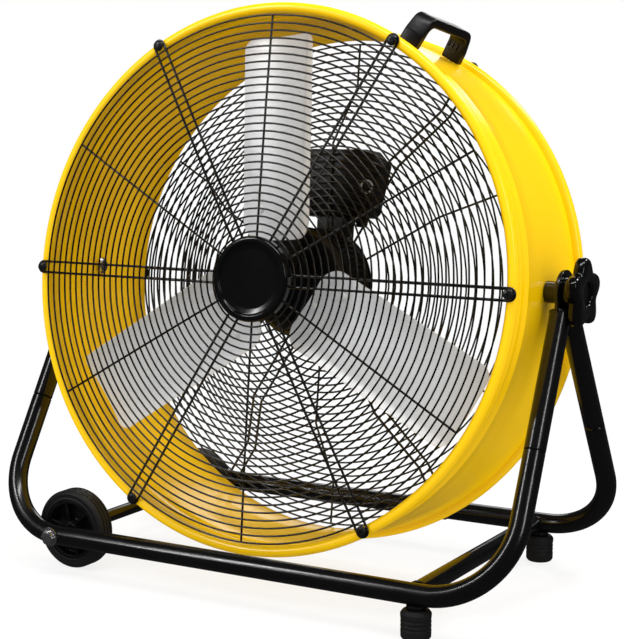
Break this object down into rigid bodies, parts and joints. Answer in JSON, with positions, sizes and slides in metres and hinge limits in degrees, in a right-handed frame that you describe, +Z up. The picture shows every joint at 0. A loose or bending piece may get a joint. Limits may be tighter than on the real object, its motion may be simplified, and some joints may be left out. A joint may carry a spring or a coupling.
{
  "type": "drum fan",
  "caption": "Large drum fan with a yellow steel barrel, wire guards and aluminium blades, tilting on a black tubular stand with wheels at one end and feet at the other.",
  "frame": {"origin": "on the floor, under the middle of the stand", "axes": "+X to the right as you look at the front of the fan, with the feet at that end; +Z up; the fan blows towards -Y"},
  "size_m": [0.756, 0.4068, 0.7178],
  "materials": {
    "yellow_paint": "gloss powder coat",
    "black_paint": "gloss powder coat",
    "guard_wire": "semi-gloss coated wire",
    "screw_black": "black oxide",
    "motor_paint": "satin",
    "blade_aluminium": "satin",
    "zinc_steel": "bright zinc plate",
    "black_plastic": "fine moulded texture",
    "gloss_black": "gloss moulding",
    "grey_plastic": "moulded",
    "foot_rubber": "matt rubber",
    "wheel_tread": "matt moulded tread"
  },
  "bodies": {
    "stand": {"front_lower_tube": "black_paint", "left_front_upper_leg": "black_paint", "right_front_upper_leg": "black_paint", "front_foot_stub": "black_paint", "front_foot": "foot_rubber", "rear_lower_tube": "black_paint", "left_rear_upper_leg": "black_paint", "right_rear_upper_leg": "black_paint", "rear_foot_stub": "black_paint", "rear_foot": "foot_rubber", "right_pivot_plate": "black_paint", "left_pivot_plate": "black_paint", "foot_crossbar": "black_paint", "wheel_axle": "zinc_steel", "wheel_axle_nut": "zinc_steel", "axle_spacer_tube": "black_paint", "front_wheel_spacer": "black_paint", "rear_wheel_spacer": "black_paint"},
    "drum": {"drum_shell": "yellow_paint", "front_guard": "guard_wire", "rear_guard": "guard_wire", "front_guard_cap": "gloss_black", "front_guard_screw_1": "screw_black", "rear_guard_screw_1": "screw_black", "front_guard_screw_2": "screw_black", "rear_guard_screw_2": "screw_black", "front_guard_screw_3": "screw_black", "rear_guard_screw_3": "screw_black", "front_guard_screw_4": "screw_black", "rear_guard_screw_4": "screw_black", "front_guard_screw_5": "screw_black", "rear_guard_screw_5": "screw_black", "front_guard_screw_6": "screw_black", "rear_guard_screw_6": "screw_black", "carry_handle": "black_plastic", "front_handle_screw": "zinc_steel", "rear_handle_screw": "zinc_steel", "right_pivot_stud": "zinc_steel", "right_pivot_sleeve": "black_paint", "left_pivot_stud": "zinc_steel", "left_pivot_sleeve": "black_paint", "motor_mount_plate": "motor_paint", "motor_housing": "motor_paint", "motor_end_bell": "motor_paint", "control_box": "black_plastic", "control_box_cover": "black_plastic", "cord_gland": "black_plastic"},
    "rotor": {"motor_shaft": "zinc_steel", "fan_hub": "motor_paint", "fan_blade_1": "blade_aluminium", "fan_blade_2": "blade_aluminium", "fan_blade_3": "blade_aluminium"},
    "front_wheel": {"front_wheel_tyre": "wheel_tread", "front_wheel_hub": "black_plastic"},
    "rear_wheel": {"rear_wheel_tyre": "wheel_tread", "rear_wheel_hub": "black_plastic"},
    "left_knob": {"left_tilt_knob": "gloss_black"},
    "right_knob": {"right_tilt_knob": "gloss_black"},
    "speed_dial": {"speed_knob": "grey_plastic"}
  },
  "joints": [
    {"name": "drum_tilt", "type": "hinge", "parent": "stand", "child": "drum", "pos_m": [0, 0, 0.378], "axis": [-1, 0, 0], "range_deg": [-97, 83]},
    {"name": "fan_spin", "type": "hinge", "parent": "drum", "child": "rotor", "pos_m": [0, -0.00569, 0.37265], "axis": [0, -0.9925, 0.1219], "continuous": true},
    {"name": "left_knob_turn", "type": "hinge", "parent": "drum", "child": "left_knob", "pos_m": [-0.37, 0, 0.378], "axis": [-1, 0, 0], "range_deg": [0, 360]},
    {"name": "right_knob_turn", "type": "hinge", "parent": "drum", "child": "right_knob", "pos_m": [0.37, 0, 0.378], "axis": [1, 0, 0], "range_deg": [0, 360]},
    {"name": "speed_knob_turn", "type": "hinge", "parent": "drum", "child": "speed_dial", "pos_m": [0, 0.11455, 0.49038], "axis": [0, 0.9925, -0.1219], "range_deg": [0, 120]},
    {"name": "front_wheel_spin", "type": "hinge", "parent": "stand", "child": "front_wheel", "pos_m": [-0.262, -0.143, 0.051], "axis": [0, 1, 0], "continuous": true},
    {"name": "rear_wheel_spin", "type": "hinge", "parent": "stand", "child": "rear_wheel", "pos_m": [-0.262, 0.143, 0.051], "axis": [0, 1, 0], "continuous": true}
  ]
}
